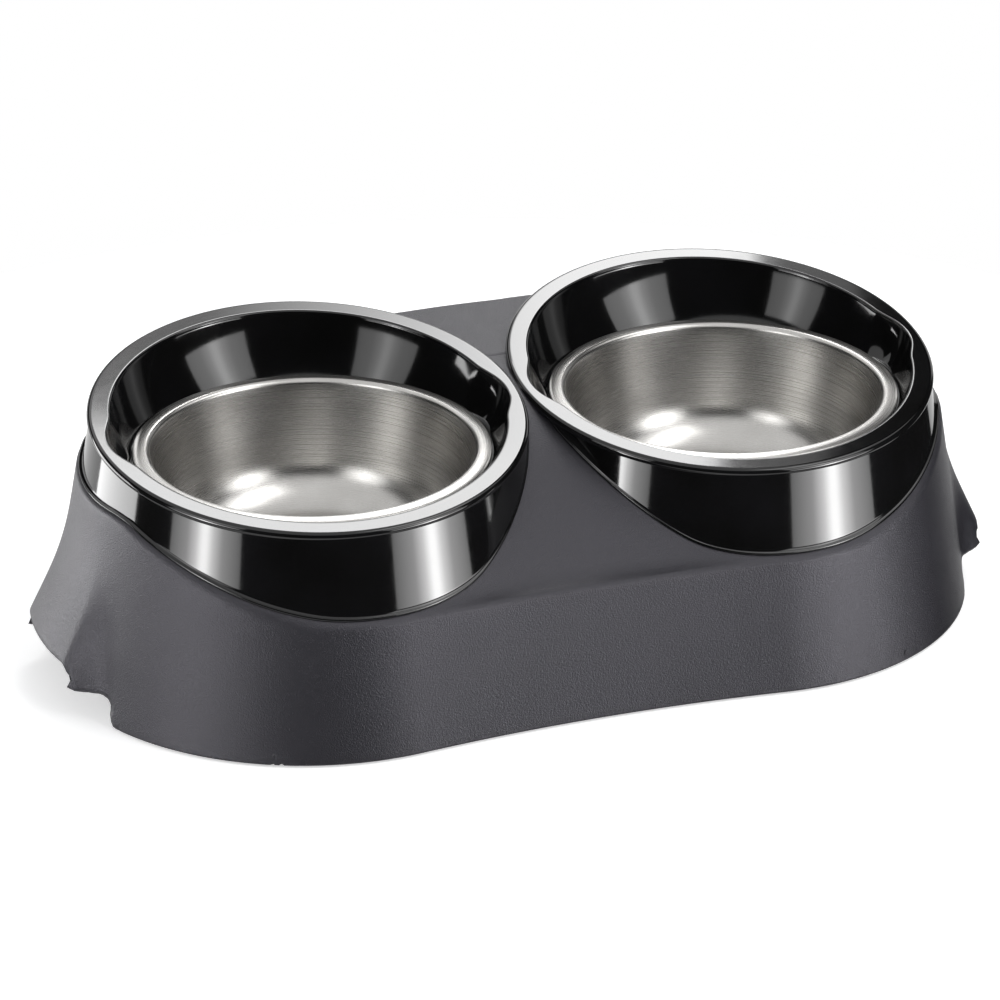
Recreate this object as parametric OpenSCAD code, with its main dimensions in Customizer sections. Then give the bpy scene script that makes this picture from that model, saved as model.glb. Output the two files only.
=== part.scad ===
// Double pet bowl: one low stand, two lift-out outer bowls with slanting rims,
// two lift-out steel bowls and four rubber feet.
// Units are millimetres. X runs along the row, Y from front to back, Z up.
// The origin lies on the resting plane in the middle of the stand.

/* [Steel bowls] */
// Outer radius of the steel rim
steel_radius = 75; // [55:0.5:95]
// Height of the steel rim's top above the resting plane
steel_top = 96.5; // [80:0.5:110]
// Depth inside the steel bowl
steel_depth = 53; // [30:0.5:65]
// Sheet thickness of the steel
steel_sheet = 0.9; // [0.5:0.1:2]
// Width of the flat steel rim
steel_rim_width = 7; // [4:0.5:12]
// Height of the folded steel rim
steel_rim_height = 2.2; // [1.6:0.1:4]
// Radius of the bend between the steel rim and the wall
steel_bend = 1.6; // [0.5:0.1:4]
// Radius of the curve between wall and floor
steel_corner = 26; // [10:0.5:34]
// Lean of the steel wall from upright, in degrees
steel_lean = 12; // [2:0.5:25]
// Width of the groove beside the folded edge
steel_groove = 0.5; // [0.3:0.1:1]
// How far the steel bowls stand in front of the outer bowl axes
steel_shift = 6.9; // [4:0.1:10]

/* [Outer bowls] */
// Height of the sloping rim plane on the bowl axis, above the steel bowl's rim
rim_rise = 13.1; // [8:0.1:25]
// Slope of the rim plane, rising to the back, in degrees
rim_tilt = 8.3; // [5:0.1:14]
// How far the rim ring stands in front of the outer bowl axis
rim_shift = 2.3; // [0:0.1:3.5]
// Width of the flat rim band
rim_width = 9.3; // [6:0.1:14]
// Radius of the round outer bead of the rim
rim_bead = 1.9; // [1.8:0.1:3]
// Chamfer of the inner rim edge
mouth_chamfer = 0.8; // [0.3:0.1:2]
// Overhang of the rim ring past the wall
rim_lip = 1.9; // [1.7:0.1:2.5]
// Clear space between the two rims
rim_gap = 1.2; // [0.6:0.1:10]
// Wall thickness of the outer bowls
bowl_wall = 3; // [2:0.1:4]
// Outward flare of the wall for each millimetre down
bowl_flare = 0.175; // [0.05:0.005:0.25]
// Width of the foot flange past the wall
flange_width = 1.1; // [0.8:0.1:2.2]
// How far the flange ring is moved outward along the row
flange_shift = 0.6; // [0:0.1:1.2]
// Thickness of the foot flange
flange_thickness = 0.9; // [0.8:0.1:3]
// Play between steel rim and outer bowl
steel_play = 0.7; // [0.4:0.1:2]
// Space between the steel bowl and the basin around it
basin_space = 2.6; // [1.5:0.1:5]
// Distance of the ring foot's middle outside the steel bowl's flat floor
ring_foot_outset = 13.6; // [8:0.1:18]
// Width of the ring foot
ring_foot_width = 3; // [2:0.1:5]
// How far the ring foot reaches below the basin
ring_foot_drop = 2.2; // [2:0.1:4]

/* [Finger notches] */
// Radius of the rounded scoop
notch_radius = 27; // [18:0.5:32]
// How far the scoop reaches past the inner rim edge
notch_reach = 4; // [2:0.1:5]
// How far the scoop reaches past the ledge edge
notch_foot_reach = 2.4; // [1:0.1:4]
// How far the scoops stand in front of the outer bowl axis
notch_shift = 5; // [0:0.1:10]

/* [Stand] */
// Narrow ledge left around each outer bowl
ledge_width = 2.3; // [1.5:0.1:8]
// Inward lean of the stand wall for each millimetre up
stand_draft = 0.172; // [0.05:0.002:0.2]
// How much less deep the middle is than the rounded ends
waist_inset = 5.1; // [3:0.1:12]
// How far the hollow front bites into the rounded ends, for a clean meeting
waist_bite = 0.15; // [0.1:0.01:0.3]
// Wall thickness of the stand
stand_wall = 3; // [2:0.1:4]
// Height of the shelf in front, at its edge
shelf_height = 57.5; // [50:0.5:66]
// Rise of the shelf for each millimetre back
shelf_slope = 0.24; // [0.1:0.01:0.4]
// Drop of the top surface at the back, in the middle, below the rim plane on the bowl axis
roof_drop = 0.1; // [0:0.1:6]
// Radius of the long arch of the top surface
roof_radius = 780; // [600:5:1500]

/* [Front slope] */
// Distance of the slope's turning axis behind the bowl axes
dome_back = 27.5; // [20:0.5:35]
// Depth of the turning axis below the resting plane
dome_drop = 50.3; // [45:0.1:56]
// Radius of the slope at its fullest, in front of each bowl
dome_hump = 167; // [164:0.5:170]
// Radius of the slope in the middle of the stand
dome_trough = 160.5; // [157:0.5:163]
// Distance of the fullest places from the middle
hump_offset = 95; // [80:1:105]
// Side curve radius of the slope at its fullest
hump_radius = 240; // [200:5:300]
// Radius of the shallow trough between the full places
trough_radius = 560; // [500:10:700]

/* [Wells] */
// Depth of the round recess in the well floor that centres the ring foot
seat_recess = 1.6; // [0.8:0.1:2]
// Play of the ring foot in its recess
seat_play = 0.4; // [0.3:0.1:1]
// Wall thickness of the well sleeve
sleeve_wall = 2.2; // [1.5:0.1:2.6]
// Thickness of the well floor
seat_thickness = 2.5; // [2:0.1:5]
// Width of the well floor left inside the ring foot
seat_margin = 4; // [2:0.5:12]
// Space kept between curved faces of bowl and stand
bowl_play = 0.3; // [0.3:0.05:1]

/* [Hand grips] */
// Height of the grip's lower edge
grip_height = 22; // [14:0.5:30]
// Height where the grip runs into the wall
grip_top = 58; // [50:0.5:66]
// How far the grip stands out of the wall at its lower edge
grip_reach = 11.2; // [6:0.1:16]
// Half opening angle of the grip, in degrees
grip_angle = 15; // [10:0.5:20]
// Radius of the hollow blend beside the grip
grip_blend = 26; // [15:0.5:32]
// How far the blend bites into the wall, for a clean meeting
grip_bite = 0.06; // [0.04:0.01:0.2]
// Height of the arch's low part beside the grip
arch_height = 12.5; // [10:0.5:14]
// Half width of the arch's high part, up to the grip's lower edge
arch_top_half_width = 30; // [24:0.5:32]
// Half width of the arch's low part
arch_half_width = 44; // [30:0.5:50]
// Corner radius of the arch
arch_corner = 6; // [4:0.5:8]
// Flare radius at the arch's feet
arch_flare = 5.5; // [3:0.5:8]

/* [Feet and ribs] */
// Radius of a rubber foot
foot_radius = 6.5; // [5:0.1:8]
// Height of the stand's lower edge above the resting plane
foot_reveal = 1.2; // [0.8:0.1:3]
// Depth of the foot's recess
foot_recess = 2; // [1:0.1:4]
// Rounding of the foot's lower edge
foot_round = 0.8; // [0.3:0.1:1.1]
// Radius of the foot's plug
plug_radius = 2.4; // [1.5:0.1:3]
// Length of the foot's plug above the recess
plug_length = 5; // [3:0.5:7]
// Play around the foot and its plug
foot_play = 0.15; // [0.1:0.05:0.4]
// Distance of the foot's edge from the outside of the wall
foot_inset = 2.6; // [2:0.1:6]
// Direction of the foot from the bowl axis, in degrees
foot_angle = 65; // [55:1:75]
// Wall around the foot's recess
boss_wall = 2; // [1.5:0.1:4]
// Height of the boss above the plug
boss_cap = 2; // [1.5:0.1:4]
// Thickness of the ribs
rib_thickness = 2; // [1.2:0.1:3]
// Height of the ribs' lower edge
rib_height = 24; // [20:0.5:30]

/* [Hidden] */
$fn = 48;
// overrun of every cut past the face it opens
overrun = foot_reveal;
// steel bowl
ledge_height = steel_top - steel_rim_height;
steel_floor = steel_top - steel_depth - steel_sheet;
steel_side = steel_radius - steel_rim_width + steel_sheet / cos(steel_lean);
bend_height = steel_floor + steel_corner * (1 - sin(steel_lean));
corner_offset = steel_side - steel_corner * cos(steel_lean)
    - (steel_top - bend_height) * tan(steel_lean);
// outer bowl: the mouth is a ball on the steel axis that meets the rim plane in a
// circle and leaves the play around the steel rim at the ledge
rim_height = steel_top + rim_rise;
rim_level = rim_height - rim_shift * tan(rim_tilt);
ball_lift = (steel_shift - rim_shift) / sin(rim_tilt);
ball_height = rim_level + ball_lift * cos(rim_tilt);
ball_radius = sqrt(pow(steel_radius + steel_play, 2) + pow(ball_height - ledge_height, 2));
mouth_radius = sqrt(pow(ball_radius, 2) - pow(ball_lift, 2));
rim_radius = mouth_radius + rim_width;
bowl_radius = rim_radius - rim_lip;
bowl_offset = rim_radius + rim_gap / 2;
basin_grow = basin_space + bowl_wall;
ring_foot_radius = corner_offset + ring_foot_outset;
basin_floor = steel_floor - basin_grow;
seat_height = basin_floor - ring_foot_drop;
// finger notch: a ball through a point past the rim edge and a point past the ledge
notch_top = mouth_radius + notch_reach;
notch_foot = steel_radius + steel_play + notch_foot_reach;
notch_rise = rim_level - ledge_height;
notch_chord = sqrt(pow(notch_top - notch_foot, 2) + pow(notch_rise, 2));
notch_arm = sqrt(pow(notch_radius, 2) - pow(notch_chord / 2, 2));
notch_x = (notch_top + notch_foot) / 2 - notch_arm * notch_rise / notch_chord;
notch_z = (rim_level + ledge_height) / 2 + notch_arm * (notch_top - notch_foot) / notch_chord;
// stand
roof_height = rim_height - roof_drop;
bowl_base = bowl_radius + bowl_flare * rim_height;
stand_edge = bowl_base - bowl_flare * shelf_height + ledge_width;
stand_radius = stand_edge + stand_draft * shelf_height;
waist_depth = stand_radius - waist_inset;
waist_radius = (pow(bowl_offset, 2) + pow(waist_depth, 2) - pow(stand_radius, 2)) / (2 * waist_inset);
waist_centre = waist_radius + waist_depth;
waist_span = waist_radius + stand_radius;
reach = bowl_offset + stand_radius + grip_reach;
well_radius = bowl_base - bowl_flare * roof_height - bowl_wall - bowl_play;
sleeve_radius = well_radius + sleeve_wall;
seat_hole = ring_foot_radius - ring_foot_width / 2 - seat_margin;
// front slope
hump_centre = dome_hump - hump_radius;
trough_half = 0.7 * hump_offset;
// hand grips
grip_base = stand_radius - stand_draft * grip_height;
grip_radius = grip_base + grip_reach;
grip_meet = stand_radius - stand_draft * grip_top;
grip_flare = (grip_radius - grip_meet) / (grip_top - grip_height);
blend_span = grip_base + grip_blend;
blend_angle = grip_angle + acos((pow(blend_span, 2) + pow(grip_radius, 2) - pow(grip_blend, 2))
    / (2 * blend_span * grip_radius));
// feet
foot_circle = stand_radius - foot_inset - foot_radius;
boss_radius = foot_radius + foot_play + boss_wall;
boss_height = foot_reveal + foot_recess + plug_length + boss_cap;
recess_top = foot_reveal + foot_recess;

// Solid with two rounded ends and hollow front and back, leaning inward as it rises
module waisted(low, high, radius, draft) {
    low_radius = radius - draft * low;
    high_radius = radius - draft * high;
    for (side = [-1, 1])
        translate([side * bowl_offset, 0, low])
            cylinder(h = high - low, r1 = low_radius, r2 = high_radius);
    difference() {
        translate([0, 0, low])
            linear_extrude(height = high - low)
                polygon([[0, -waist_centre], [bowl_offset, 0], [0, waist_centre], [-bowl_offset, 0]]);
        for (side = [-1, 1])
            translate([0, side * waist_centre, low - overrun])
                cylinder(h = high - low + 2 * overrun,
                    r1 = waist_span + waist_bite - low_radius - draft * overrun,
                    r2 = waist_span + waist_bite - high_radius + draft * overrun);
    }
}

// Half section of the front slope: two full places with a shallow trough between them
module slope_section(lift) {
    intersection() {
        translate([0, overrun - reach])
            square([dome_hump + lift + overrun, 2 * (reach - overrun)]);
        union() {
            for (side = [-1, 1])
                translate([hump_centre, side * hump_offset])
                    circle(r = hump_radius + lift, $fn = 72);
            difference() {
                translate([0, -trough_half])
                    square([dome_hump + lift, 2 * trough_half]);
                translate([dome_trough + trough_radius, 0])
                    circle(r = trough_radius - lift, $fn = 72);
            }
        }
    }
}

// Everything below the stand's top surface, raised or lowered by lift
module below_top(lift) {
    intersection() {
        translate([0, reach, roof_height - roof_radius])
            rotate([90, 0, 0])
                cylinder(h = 2 * reach, r = roof_radius + lift, $fn = 360);
        union() {
            translate([0, dome_back, -dome_drop])
                rotate([0, 90, 0])
                    rotate_extrude($fn = 96)
                        slope_section(lift);
            translate([-reach, dome_back, -overrun])
                cube([2 * reach, reach, 2 * roof_height]);
            translate([-reach, -reach, -overrun])
                cube([2 * reach, 2 * reach, shelf_height + lift]);
            waisted(shelf_height + lift - overrun, shelf_height + lift + 3 * overrun,
                stand_edge + (shelf_height + lift) / shelf_slope, 1 / shelf_slope);
        }
    }
}

// Grip at one end, grown by a margin that is negative for its hollow
module grip(grow) {
    low = grip_height - (grow < 0 ? overrun : 0);
    high = grip_top + 2 * overrun;
    side_radius = grip_blend + grip_bite - grow;
    intersection() {
        translate([bowl_offset, 0, low])
            cylinder(h = high - low, r1 = grip_radius + grow + grip_flare * (grip_height - low),
                r2 = grip_meet + grow - grip_flare * (high - grip_top));
        difference() {
            translate([bowl_offset, 0, low - overrun])
                linear_extrude(height = high - low + 2 * overrun)
                    polygon([[0, 0],
                        [blend_span * cos(blend_angle), -blend_span * sin(blend_angle)],
                        [reach, 0],
                        [blend_span * cos(blend_angle), blend_span * sin(blend_angle)]]);
            for (side = [-1, 1])
                translate([bowl_offset + blend_span * cos(blend_angle),
                    side * blend_span * sin(blend_angle), low - 2 * overrun])
                    cylinder(h = high - low + 4 * overrun,
                        r1 = side_radius + stand_draft * (low - 2 * overrun - grip_height),
                        r2 = side_radius + stand_draft * (high + 2 * overrun - grip_height));
        }
    }
}

// Outline of one part of the arch, with rounded upper corners
module arch_part(half_width, height) {
    inner = half_width - arch_corner;
    translate([-inner, -overrun])
        square([2 * inner, height + overrun]);
    translate([-half_width, -overrun])
        square([2 * half_width, height - arch_corner + overrun]);
    for (side = [-1, 1])
        translate([side * inner, height - arch_corner])
            circle(r = arch_corner);
}

// Outline of the arch under a grip: its edge sinks beside the grip and flares at the feet
module arch_outline() {
    foot = arch_half_width + arch_flare;
    bend = grip_height - arch_corner - arch_height;
    arch_part(arch_top_half_width, grip_height);
    arch_part(arch_half_width, arch_height);
    difference() {
        translate([-arch_top_half_width - bend, arch_height - arch_corner])
            square([2 * (arch_top_half_width + bend), arch_corner + bend]);
        for (side = [-1, 1])
            translate([side * (arch_top_half_width + bend), arch_height + bend])
                circle(r = bend);
    }
    difference() {
        translate([-foot, -overrun])
            square([2 * foot, arch_flare + overrun]);
        for (side = [-1, 1])
            translate([side * foot, arch_flare])
                circle(r = arch_flare);
    }
}

// Places a child at each of the four feet
module at_feet() {
    for (side = [-1, 1])
        for (face = [-1, 1])
            translate([side * (bowl_offset + foot_circle * cos(foot_angle)),
                face * foot_circle * sin(foot_angle), 0])
                children();
}

// Hollow of the stand, leaving the well sleeves, well floors, bosses and ribs
module stand_hollow() {
    difference() {
        union() {
            intersection() {
                waisted(0, roof_height, stand_radius - stand_wall, stand_draft);
                below_top(-stand_wall);
            }
            grip(-stand_wall);
            mirror([1, 0, 0])
                grip(-stand_wall);
        }
        for (side = [-1, 1]) {
            translate([side * bowl_offset, 0, seat_height - seat_thickness])
                cylinder(h = roof_height, r = sleeve_radius);
            for (turn = [45, 135])
                translate([side * bowl_offset, 0, rib_height])
                    rotate([0, 0, turn])
                        translate([-reach, -rib_thickness / 2, 0])
                            cube([2 * reach, rib_thickness, roof_height]);
        }
        at_feet()
            cylinder(h = boss_height, r = boss_radius);
    }
}

module stand() {
    color([0.13, 0.13, 0.14])
        difference() {
            union() {
                difference() {
                    intersection() {
                        waisted(foot_reveal, roof_height + overrun, stand_radius, stand_draft);
                        below_top(0);
                    }
                    translate([-reach, 0, 0])
                        rotate([90, 0, 90])
                            linear_extrude(height = 2 * reach)
                                arch_outline();
                }
                grip(0);
                mirror([1, 0, 0])
                    grip(0);
            }
            stand_hollow();
            for (side = [-1, 1])
                translate([side * bowl_offset, 0, 0]) {
                    translate([0, 0, seat_height + seat_recess])
                        cylinder(h = roof_height, r = well_radius);
                    translate([0, -steel_shift, seat_height])
                        cylinder(h = seat_recess + overrun,
                            r = ring_foot_radius + ring_foot_width / 2 + seat_play);
                    translate([0, -steel_shift, 0])
                        cylinder(h = seat_height + overrun, r = seat_hole);
                }
            at_feet() {
                cylinder(h = recess_top, r = foot_radius + foot_play);
                cylinder(h = recess_top + plug_length + foot_play, r = plug_radius + foot_play);
            }
        }
}

// Cup section: floor, corner curve and leaning wall, inset from the steel's outside
module cup_section(inset, top) {
    run = steel_corner - inset;
    tangent_x = corner_offset + run * cos(steel_lean);
    tangent_z = steel_floor + steel_corner - run * sin(steel_lean);
    intersection() {
        square([reach, top]);
        union() {
            translate([corner_offset, steel_floor + steel_corner])
                circle(r = run);
            polygon([[0, steel_floor + inset], [corner_offset, steel_floor + inset],
                [corner_offset, steel_floor + steel_corner], [tangent_x, tangent_z],
                [tangent_x + (top - tangent_z) * tan(steel_lean), top], [0, top]]);
        }
    }
}

// Steel bowl: a pressed cup with a folded flat rim
module steel_bowl_right() {
    bend_x = steel_radius - steel_rim_width - steel_bend * tan(steel_lean)
        + steel_bend / cos(steel_lean);
    hem = steel_rim_height / 2;
    translate([bowl_offset, -steel_shift, 0])
        rotate_extrude($fn = 64)
            difference() {
                union() {
                    cup_section(0, steel_top);
                    translate([0, ledge_height])
                        square([steel_radius - hem, steel_rim_height]);
                    translate([steel_radius - hem, ledge_height + hem])
                        circle(r = hem);
                }
                cup_section(steel_sheet, steel_top + overrun);
                difference() {
                    polygon([[0, steel_top + overrun], [bend_x, steel_top + overrun],
                        [bend_x, steel_top - steel_bend],
                        [bend_x - steel_bend * cos(steel_lean), steel_top - steel_bend * (1 - sin(steel_lean))],
                        [0, steel_top - steel_bend * (1 - sin(steel_lean))]]);
                    translate([bend_x, steel_top - steel_bend])
                        circle(r = steel_bend);
                }
                translate([steel_radius - 2 * hem, steel_top - steel_groove])
                    square([steel_groove, steel_groove + overrun]);
            }
}

// Cone of the outer bowl's wall, grown by a margin
module wall_cone(grow) {
    cylinder(h = rim_height + rim_radius,
        r1 = bowl_base + grow,
        r2 = bowl_base + grow - bowl_flare * (rim_height + rim_radius));
}

// Everything below the rim plane lowered by drop
module below_rim(drop) {
    translate([0, 0, rim_height - drop])
        rotate([rim_tilt, 0, 0])
            translate([-reach, -reach, -reach])
                cube([2 * reach, 2 * reach, reach]);
}

// Placement on the rim plane, at the centre of the rim ring
module on_rim() {
    translate([0, -rim_shift, rim_level])
        rotate([rim_tilt, 0, 0])
            children();
}

// Flat rim ring with a round outer bead
module rim_ring() {
    on_rim()
        rotate_extrude($fn = 64) {
            translate([mouth_radius - bowl_wall, -2 * rim_bead])
                square([rim_width + bowl_wall - rim_bead, 2 * rim_bead]);
            translate([rim_radius - rim_bead, -rim_bead])
                circle(r = rim_bead);
        }
}

// The bowl's mouth with its chamfered upper edge, round about the rim's own axis
module mouth() {
    intersection() {
        on_rim() {
            translate([0, 0, ball_lift])
                sphere(r = ball_radius, $fn = 48);
            translate([0, 0, -2 * mouth_chamfer])
                cylinder(h = 3 * mouth_chamfer, r1 = mouth_radius - mouth_chamfer,
                    r2 = mouth_radius + 2 * mouth_chamfer, $fn = 64);
        }
        translate([-reach, -reach, ledge_height])
            cube([2 * reach, 2 * reach, reach]);
    }
}

// Ball scoops at both sides, grown by a margin
module notches(grow) {
    for (side = [-1, 1])
        translate([side * notch_x, -notch_shift, notch_z])
            sphere(r = notch_radius + grow, $fn = 40);
}

// Wall of the outer bowl with its foot flange
module bowl_skirt() {
    difference() {
        intersection() {
            union() {
                translate([bowl_offset, 0, 0])
                    wall_cone(0);
                intersection() {
                    translate([bowl_offset + flange_shift, 0, 0])
                        wall_cone(flange_width);
                    below_top(bowl_play + flange_thickness);
                }
            }
            translate([bowl_offset, 0, 0])
                below_rim(rim_bead);
        }
        translate([bowl_offset, 0, 0])
            wall_cone(-bowl_wall);
    }
}

// Shell around the mouth and the finger notches, down to the ledge
module mouth_shell() {
    intersection() {
        union() {
            translate([0, -steel_shift, ball_height])
                sphere(r = ball_radius + bowl_wall, $fn = 48);
            notches(bowl_wall);
        }
        translate([-reach, -reach, ledge_height - bowl_wall])
            cube([2 * reach, 2 * reach, reach]);
        below_rim(rim_bead);
        wall_cone(-bowl_wall / 2);
    }
}

// Basin around the steel bowl, with its ring foot
module basin() {
    translate([0, -steel_shift, 0]) {
        rotate_extrude($fn = 64)
            cup_section(-basin_grow, ledge_height);
        difference() {
            translate([0, 0, seat_height])
                cylinder(h = ring_foot_drop + basin_grow - bowl_wall / 2,
                    r = ring_foot_radius + ring_foot_width / 2);
            cylinder(h = steel_floor, r = ring_foot_radius - ring_foot_width / 2);
        }
    }
}

module outer_bowl_right() {
    difference() {
        union() {
            bowl_skirt();
            translate([bowl_offset, 0, 0]) {
                rim_ring();
                mouth_shell();
                basin();
            }
        }
        difference() {
            below_top(bowl_play);
            translate([bowl_offset, 0, -2 * overrun])
                cylinder(h = 2 * rim_height, r = well_radius - bowl_play);
        }
        translate([bowl_offset, 0, 0]) {
            mouth();
            notches(0);
            translate([0, -steel_shift, 0])
                rotate_extrude($fn = 64)
                    cup_section(-basin_space, ledge_height + overrun);
        }
    }
}

// Rubber foot: a round pad with a plug
module rubber_foot() {
    rotate_extrude($fn = 64) {
        square([foot_radius - foot_round, recess_top]);
        translate([0, foot_round])
            square([foot_radius, recess_top - foot_round]);
        translate([foot_radius - foot_round, foot_round])
            circle(r = foot_round);
        square([plug_radius, recess_top + plug_length]);
    }
}

// Places one foot by its side and face
module foot_at(side, face) {
    color([0.08, 0.08, 0.08])
        translate([side * (bowl_offset + foot_circle * cos(foot_angle)),
            face * foot_circle * sin(foot_angle), 0])
            rubber_foot();
}

module right_outer_bowl() {
    color([0.03, 0.03, 0.03])
        outer_bowl_right();
}

module left_outer_bowl() {
    color([0.03, 0.03, 0.03])
        mirror([1, 0, 0])
            outer_bowl_right();
}

module right_steel_bowl() {
    color([0.75, 0.75, 0.76])
        steel_bowl_right();
}

module left_steel_bowl() {
    color([0.75, 0.75, 0.76])
        mirror([1, 0, 0])
            steel_bowl_right();
}

module front_left_foot() {
    foot_at(-1, -1);
}

module front_right_foot() {
    foot_at(1, -1);
}

module back_left_foot() {
    foot_at(-1, 1);
}

module back_right_foot() {
    foot_at(1, 1);
}

stand();
left_outer_bowl();
right_outer_bowl();
left_steel_bowl();
right_steel_bowl();
front_left_foot();
front_right_foot();
back_left_foot();
back_right_foot();
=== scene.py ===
import bpy
import math
import numpy as np
from mathutils import Matrix, Vector


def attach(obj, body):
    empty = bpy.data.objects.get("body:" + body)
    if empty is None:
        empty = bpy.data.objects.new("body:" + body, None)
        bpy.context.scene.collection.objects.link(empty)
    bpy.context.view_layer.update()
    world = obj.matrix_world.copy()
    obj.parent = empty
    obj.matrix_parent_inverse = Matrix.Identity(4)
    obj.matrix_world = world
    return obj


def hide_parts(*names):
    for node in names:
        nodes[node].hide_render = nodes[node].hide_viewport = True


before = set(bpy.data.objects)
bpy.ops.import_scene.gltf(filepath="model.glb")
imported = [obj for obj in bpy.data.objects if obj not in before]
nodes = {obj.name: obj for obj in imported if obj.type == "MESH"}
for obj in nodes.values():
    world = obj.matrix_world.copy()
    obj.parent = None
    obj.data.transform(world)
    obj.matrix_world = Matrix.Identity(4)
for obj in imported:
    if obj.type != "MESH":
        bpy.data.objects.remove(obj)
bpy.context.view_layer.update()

MM = 0.001
# where the steel bowls' axes stand, in metres
AXIS_X = 92.83 * MM
SHIFT_Y = -6.9 * MM

# ---------------------------------------------------------------- shapes
# sizes of the solids that the smooth pieces follow, in millimetres
STEEL_RADIUS, STEEL_TOP, STEEL_DEPTH, STEEL_SHEET = 75.0, 96.5, 53.0, 0.9
STEEL_CORNER, STEEL_SHIFT, STEEL_RIM, STEEL_RIM_HEIGHT = 26.0, 6.9, 7.0, 2.2
LEAN = math.radians(12.0)
RIM_RISE, RIM_SHIFT, RIM_WIDTH, RIM_BEAD, RIM_LIP, RIM_GAP = 13.1, 2.3, 9.3, 1.9, 1.9, 1.2
TILT = math.radians(8.3)
BOWL_WALL, BOWL_FLARE, FLANGE_WIDTH, FLANGE_SHIFT, FLANGE_THICKNESS = 3.0, 0.175, 1.1, 0.6, 0.9
STEEL_PLAY, BASIN_SPACE, RING_OUTSET, RING_WIDTH, RING_DROP = 0.7, 2.6, 13.6, 3.0, 2.2
NOTCH_RADIUS, NOTCH_REACH, NOTCH_FOOT_REACH, NOTCH_SHIFT = 27.0, 4.0, 2.4, 5.0
LEDGE_WIDTH, STAND_DRAFT, WAIST_INSET = 2.3, 0.172, 5.1
SHELF_HEIGHT, SHELF_SLOPE, ROOF_DROP, ROOF_RADIUS = 57.5, 0.24, 0.1, 780.0
DOME_BACK, DOME_DROP, DOME_HUMP, DOME_TROUGH = 27.5, 50.3, 167.0, 160.5
HUMP_OFFSET, HUMP_RADIUS, TROUGH_RADIUS = 95.0, 240.0, 560.0
SEAT_RECESS, SEAT_PLAY, SEAT_MARGIN, BOWL_PLAY = 1.6, 0.4, 4.0, 0.3
GRIP_HEIGHT, GRIP_TOP, GRIP_REACH = 22.0, 58.0, 11.2
ARCH_HEIGHT, ARCH_TOP_HALF, ARCH_HALF, ARCH_CORNER, ARCH_FLARE = 12.5, 30.0, 44.0, 6.0, 5.5
FOOT_RADIUS, FOOT_REVEAL, FOOT_RECESS, PLUG_RADIUS, PLUG_LENGTH = 6.5, 1.2, 2.0, 2.4, 5.0
FOOT_PLAY, FOOT_INSET, BOSS_WALL, BOSS_CAP = 0.15, 2.6, 2.0, 2.0
RIB_THICKNESS, RIB_HEIGHT = 2.0, 24.0
FOOT_ANGLE = math.radians(65.0)

# The stand's mesh is made of cells of this size. Its walls have to be thicker than a cell, so they
# are thicker than in the solids, and all that is added lies on the hidden side.
CELL = 1.8
SHELL, SLEEVE_WALL, SEAT_THICKNESS, RIB_ADDED = 4.3, 3.6, 3.0, 0.6
# how widely surfaces are rounded into each other
TOP_SOFT, HOLLOW_SOFT, EDGE_SOFT, ARCH_SOFT = 3.0, 3.0, 1.6, 2.4
TROUGH_SOFT, GRIP_SOFT, NOTCH_SOFT = 0.6, 0.5, 3.0
# a level or upright distance times this is the distance square to a leaning surface
WALL_SQUARE, SHELF_SQUARE = 0.94, 0.972
# where the round ends begin, outwards from the bowl axes
END_START = 40.0
# power that fades the grips out sideways, and how much narrower they are for each mm inside
GRIP_FADE, GRIP_NARROWING = 1.5, 0.035
# the stand's mesh stays this far inside the box of the solids
SPARE_X, SPARE_Y = 0.01, 0.03
# levels below and above all of the stand's top, and above the bowls' rims, for solve
UNDER_TOP, OVER_TOP, OVER_RIM = 20.0, 125.0, 130.0

LEDGE = STEEL_TOP - STEEL_RIM_HEIGHT
STEEL_FLOOR = STEEL_TOP - STEEL_DEPTH - STEEL_SHEET
STEEL_SIDE = STEEL_RADIUS - STEEL_RIM + STEEL_SHEET / math.cos(LEAN)
BEND_HEIGHT = STEEL_FLOOR + STEEL_CORNER * (1 - math.sin(LEAN))
CORNER_OFFSET = (STEEL_SIDE - STEEL_CORNER * math.cos(LEAN)
                 - (STEEL_TOP - BEND_HEIGHT) * math.tan(LEAN))
RIM_HEIGHT = STEEL_TOP + RIM_RISE
RIM_LEVEL = RIM_HEIGHT - RIM_SHIFT * math.tan(TILT)
BALL_LIFT = (STEEL_SHIFT - RIM_SHIFT) / math.sin(TILT)
BALL_HEIGHT = RIM_LEVEL + BALL_LIFT * math.cos(TILT)
BALL_RADIUS = math.hypot(STEEL_RADIUS + STEEL_PLAY, BALL_HEIGHT - LEDGE)
MOUTH = math.sqrt(BALL_RADIUS ** 2 - BALL_LIFT ** 2)
RIM_RADIUS = MOUTH + RIM_WIDTH
OFFSET = RIM_RADIUS + RIM_GAP / 2
GROW = BASIN_SPACE + BOWL_WALL
RING_RADIUS = CORNER_OFFSET + RING_OUTSET
SEAT_HEIGHT = STEEL_FLOOR - GROW - RING_DROP
NOTCH_TOP, NOTCH_RISE = MOUTH + NOTCH_REACH, RIM_LEVEL - LEDGE
NOTCH_FOOT = STEEL_RADIUS + STEEL_PLAY + NOTCH_FOOT_REACH
CHORD = math.hypot(NOTCH_TOP - NOTCH_FOOT, NOTCH_RISE)
ARM = math.sqrt(NOTCH_RADIUS ** 2 - (CHORD / 2) ** 2)
NOTCH_X = (NOTCH_TOP + NOTCH_FOOT) / 2 - ARM * NOTCH_RISE / CHORD
NOTCH_Z = (RIM_LEVEL + LEDGE) / 2 + ARM * (NOTCH_TOP - NOTCH_FOOT) / CHORD
ROOF_HEIGHT = RIM_HEIGHT - ROOF_DROP
BOWL_BASE = RIM_RADIUS - RIM_LIP + BOWL_FLARE * RIM_HEIGHT
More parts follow.
